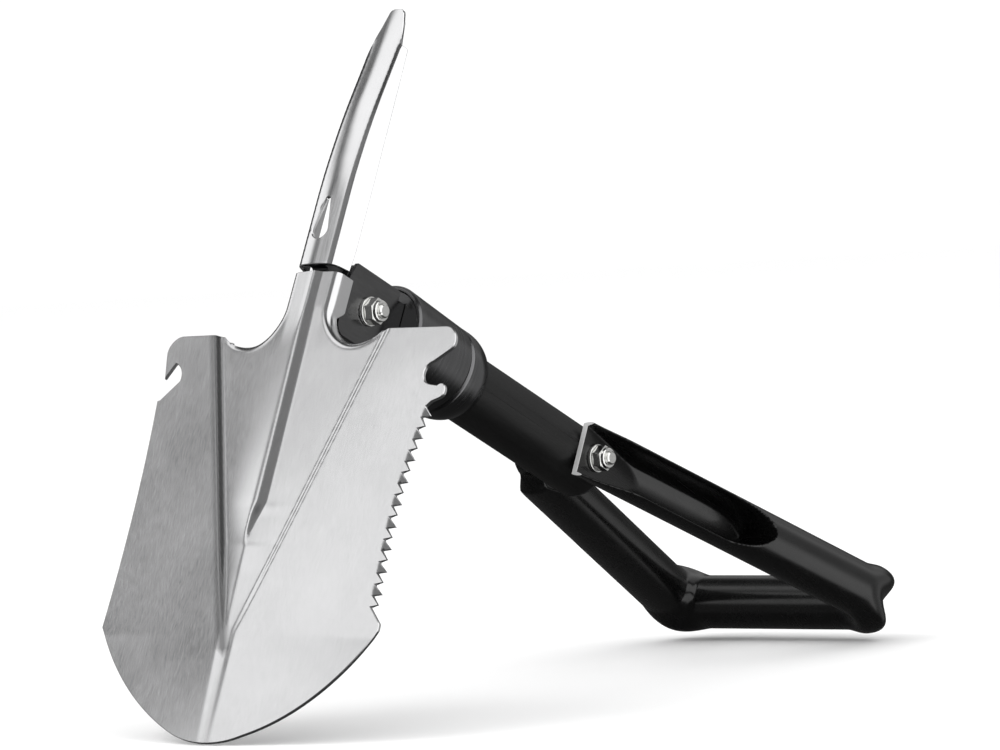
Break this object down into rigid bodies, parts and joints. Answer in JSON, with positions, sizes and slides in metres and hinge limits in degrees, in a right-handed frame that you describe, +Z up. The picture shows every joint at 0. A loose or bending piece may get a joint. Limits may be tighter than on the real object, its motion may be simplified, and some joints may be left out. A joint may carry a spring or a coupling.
{
  "type": "folding camp shovel",
  "caption": "Folding camp shovel with a pick: pointed saw-edged steel blade, channel pick, threaded locking collar, tube shaft and a folding triangular handle.",
  "frame": {"origin": "bottom centre of the bounding box, with the tool standing on its blade tip and its grip", "axes": "+X along the head bolt, across the blade; +Y along the ground from the blade tip to the grip; +Z up"},
  "size_m": [0.1602, 0.414, 0.2943],
  "materials": {
    "stainless_blade": "fine lengthwise brushing on pressed stainless sheet",
    "stainless_pick": "polished stainless channel",
    "stainless_lug": "plain cut steel plate",
    "dark_nickel": "polished black nickel",
    "collar_steel": "turned dark steel",
    "black_satin_paint": "satin black powder coat",
    "black_gloss_paint": "semi-gloss black paint",
    "black_plastic": "moulded black plastic",
    "zinc": "bright zinc plate",
    "nylon": "natural nylon"
  },
  "bodies": {
    "shaft": {"shaft_tube": "black_satin_paint", "fork_cheek_right": "dark_nickel", "fork_cheek_left": "dark_nickel", "threaded_barrel": "dark_nickel", "barrel_rivets": "zinc", "plug_pin": "zinc", "stop_ring": "collar_steel", "shaft_end_cap": "black_plastic", "handle_bolt_sleeve": "zinc", "head_bolt": "zinc", "head_washers": "zinc", "head_nut": "zinc", "head_nut_insert": "nylon"},
    "pick": {"pick_channel": "stainless_pick", "pick_tongue": "stainless_lug"},
    "blade": {"blade": "stainless_blade", "blade_lug_right": "stainless_lug", "blade_lug_left": "stainless_lug"},
    "lock": {"pressure_plate": "dark_nickel"},
    "collar": {"locking_collar": "collar_steel"},
    "handle": {"handle_tube": "black_gloss_paint", "handle_bolt": "zinc", "handle_washers": "zinc", "handle_nut": "zinc", "handle_nut_insert": "nylon"}
  },
  "joints": [
    {"name": "pick_fold", "type": "hinge", "parent": "shaft", "child": "pick", "pos_m": [-0.0051, -0.09892, 0.16808], "axis": [1, 0, 0], "range_deg": [-90, 0]},
    {"name": "blade_fold", "type": "hinge", "parent": "pick", "child": "blade", "pos_m": [-0.0051, -0.09892, 0.16808], "axis": [1, 0, 0], "range_deg": [0, 90]},
    {"name": "collar_travel", "type": "slide", "parent": "shaft", "child": "lock", "axis": [0, -0.8905, 0.455], "range_m": [0, 0.00421]},
    {"name": "collar_turn", "type": "hinge", "parent": "lock", "child": "collar", "pos_m": [-0.0051, -0.0812, 0.15903], "axis": [0, -0.8905, 0.455], "range_deg": [0, 252]},
    {"name": "handle_fold", "type": "hinge", "parent": "shaft", "child": "handle", "pos_m": [-0.0051, 0.03886, 0.096], "axis": [1, 0, 0], "range_deg": [0, 155]}
  ],
  "couplings": [
    {"joint": "collar_travel", "follows": "collar_turn", "m_per_rad": 0.00095493}
  ]
}
